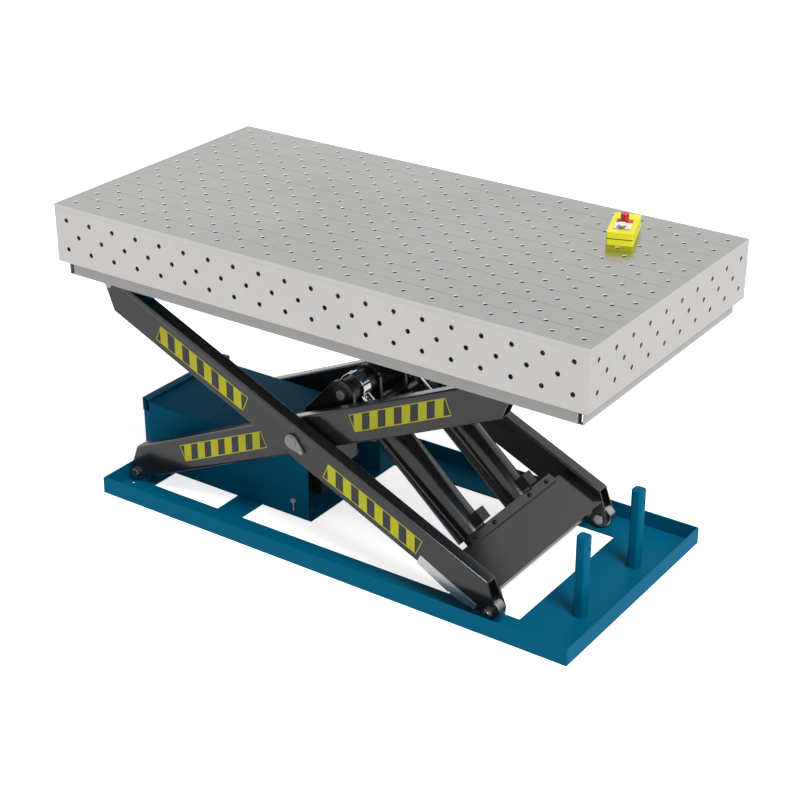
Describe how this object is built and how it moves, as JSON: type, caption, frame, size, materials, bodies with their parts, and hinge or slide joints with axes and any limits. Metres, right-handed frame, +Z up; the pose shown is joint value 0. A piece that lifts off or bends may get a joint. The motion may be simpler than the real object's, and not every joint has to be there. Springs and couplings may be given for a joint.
{
  "type": "height adjustable welding table",
  "caption": "Height adjustable welding table: a perforated steel box top on a hydraulic scissor lift, with a power unit, rest posts and a hand control with two push buttons.",
  "frame": {"origin": "on the floor, under the middle of the table top", "axes": "+X along the table from the power unit to the rest posts, +Y from the front to the rear, +Z up"},
  "size_m": [2, 1, 1.1575],
  "materials": {
    "teal_paint": "satin teal paint",
    "charcoal_paint": "satin charcoal paint",
    "black_paint": "semi-gloss black paint",
    "grey_paint": "satin grey paint",
    "ground_steel": "ground steel",
    "bright_steel": "turned steel",
    "hard_chrome": "polished hard chrome",
    "bearing_bronze": "machined bearing bronze",
    "cast_aluminium": "cast",
    "cast_iron": "cast, painted",
    "tank_plastic": "moulded",
    "yellow_plastic": "moulded yellow",
    "face_plastic": "printed in plain colour fields",
    "black_plastic": "moulded black",
    "black_rubber": "moulded black",
    "red_plastic": "moulded red",
    "white_plastic": "moulded white"
  },
  "bodies": {
    "base": {"base_plate": "teal_paint", "base_side_lips": "teal_paint", "base_end_lips": "teal_paint", "rest_posts": "teal_paint", "lower_hinge_lugs": "teal_paint", "power_unit_cover": "teal_paint", "cover_hood": "teal_paint", "cover_lock": "black_paint", "oil_tank": "tank_plastic", "pump_motor": "cast_aluminium", "oil_pump": "cast_iron", "valve_block": "cast_aluminium"},
    "inner_arms": {"inner_arm_front": "charcoal_paint", "inner_arm_rear": "charcoal_paint", "torque_tube": "charcoal_paint", "inner_cross_tube": "charcoal_paint", "cylinder_brackets": "charcoal_paint", "eye_pins": "bright_steel", "eye_spacers": "black_paint", "centre_bushes": "bearing_bronze", "lower_hinge_pins": "bright_steel", "upper_roller_pins": "bright_steel"},
    "outer_arms": {"outer_arm_front": "charcoal_paint", "outer_arm_rear": "charcoal_paint", "cross_beam": "charcoal_paint", "beam_strip": "charcoal_paint", "roller_gussets": "charcoal_paint", "foot_lugs": "charcoal_paint", "foot_pins": "bright_steel", "centre_pins": "bright_steel", "keeper_bolts": "bright_steel", "lower_roller_pins": "bright_steel", "upper_hinge_pins": "bright_steel"},
    "barrels": {"cylinder_barrels": "charcoal_paint", "cylinder_feet": "charcoal_paint", "cylinder_glands": "charcoal_paint", "port_blocks": "black_paint"},
    "rods": {"piston_rods": "hard_chrome", "pistons": "bright_steel", "rod_eyes": "hard_chrome"},
    "table": {"top_plate": "ground_steel", "side_plates": "ground_steel", "end_plates": "ground_steel", "cross_ribs": "ground_steel", "long_ribs": "ground_steel", "box_skirts": "grey_paint", "table_rails": "teal_paint", "stop_beam": "teal_paint", "upper_hinge_lugs": "teal_paint", "pendant_base": "yellow_plastic", "pendant_gasket": "black_rubber", "pendant_cover": "yellow_plastic", "pendant_face": "face_plastic", "pendant_gland": "black_plastic"},
    "lower_roller_a": {"lower_roller_front": "bright_steel"},
    "lower_roller_b": {"lower_roller_rear": "bright_steel"},
    "upper_roller_a": {"upper_roller_front": "bright_steel"},
    "upper_roller_b": {"upper_roller_rear": "bright_steel"},
    "stop_button_body": {"stop_button": "red_plastic"},
    "run_button_body": {"run_button": "white_plastic"}
  },
  "joints": [
    {"name": "lift", "type": "hinge", "parent": "base", "child": "inner_arms", "pos_m": [-0.89, 0, 0.044], "axis": [0, -1, 0], "range_deg": [-19.3, 2.4]},
    {"name": "scissor", "type": "hinge", "parent": "inner_arms", "child": "outer_arms", "pos_m": [-0.13252, 0, 0.4185], "axis": [0, -1, 0], "range_deg": [-5, 39]},
    {"name": "table_level", "type": "hinge", "parent": "outer_arms", "child": "table", "pos_m": [-0.89, 0, 0.793], "axis": [0, -1, 0], "range_deg": [-19.5, 2.6]},
    {"name": "barrel_swing", "type": "hinge", "parent": "outer_arms", "child": "barrels", "pos_m": [0.44574, 0, 0.10715], "axis": [0, -1, 0], "range_deg": [-0.4, 1.6]},
    {"name": "rod_stroke", "type": "slide", "parent": "barrels", "child": "rods", "axis": [-0.7496, 0, 0.6619], "range_m": [-0.1005, 0.0135]},
    {"name": "lower_roller_spin_a", "type": "hinge", "parent": "outer_arms", "child": "lower_roller_a", "pos_m": [0.62496, -0.355, 0.044], "axis": [0, -1, 0], "continuous": true},
    {"name": "lower_roller_spin_b", "type": "hinge", "parent": "outer_arms", "child": "lower_roller_b", "pos_m": [0.62496, 0.355, 0.044], "axis": [0, -1, 0], "continuous": true},
    {"name": "upper_roller_spin_a", "type": "hinge", "parent": "inner_arms", "child": "upper_roller_a", "pos_m": [0.62496, -0.296, 0.793], "axis": [0, -1, 0], "continuous": true},
    {"name": "upper_roller_spin_b", "type": "hinge", "parent": "inner_arms", "child": "upper_roller_b", "pos_m": [0.62496, 0.296, 0.793], "axis": [0, -1, 0], "continuous": true},
    {"name": "stop_button_push", "type": "slide", "parent": "table", "child": "stop_button_body", "axis": [0, 0, -1], "range_m": [0, 0.004], "stiffness_N_per_m": 600, "springref_m": -0.002},
    {"name": "run_button_push", "type": "slide", "parent": "table", "child": "run_button_body", "axis": [0, 0, -1], "range_m": [0, 0.005], "stiffness_N_per_m": 400, "springref_m": -0.002}
  ],
  "couplings": [
    {"joint": "scissor", "follows": "lift", "ratio": -2},
    {"joint": "table_level", "follows": "lift", "ratio": 1},
    {"joint": "barrel_swing", "follows": "lift", "ratio": -0.0681},
    {"joint": "rod_stroke", "follows": "lift", "m_per_rad": 0.29352}
  ]
}
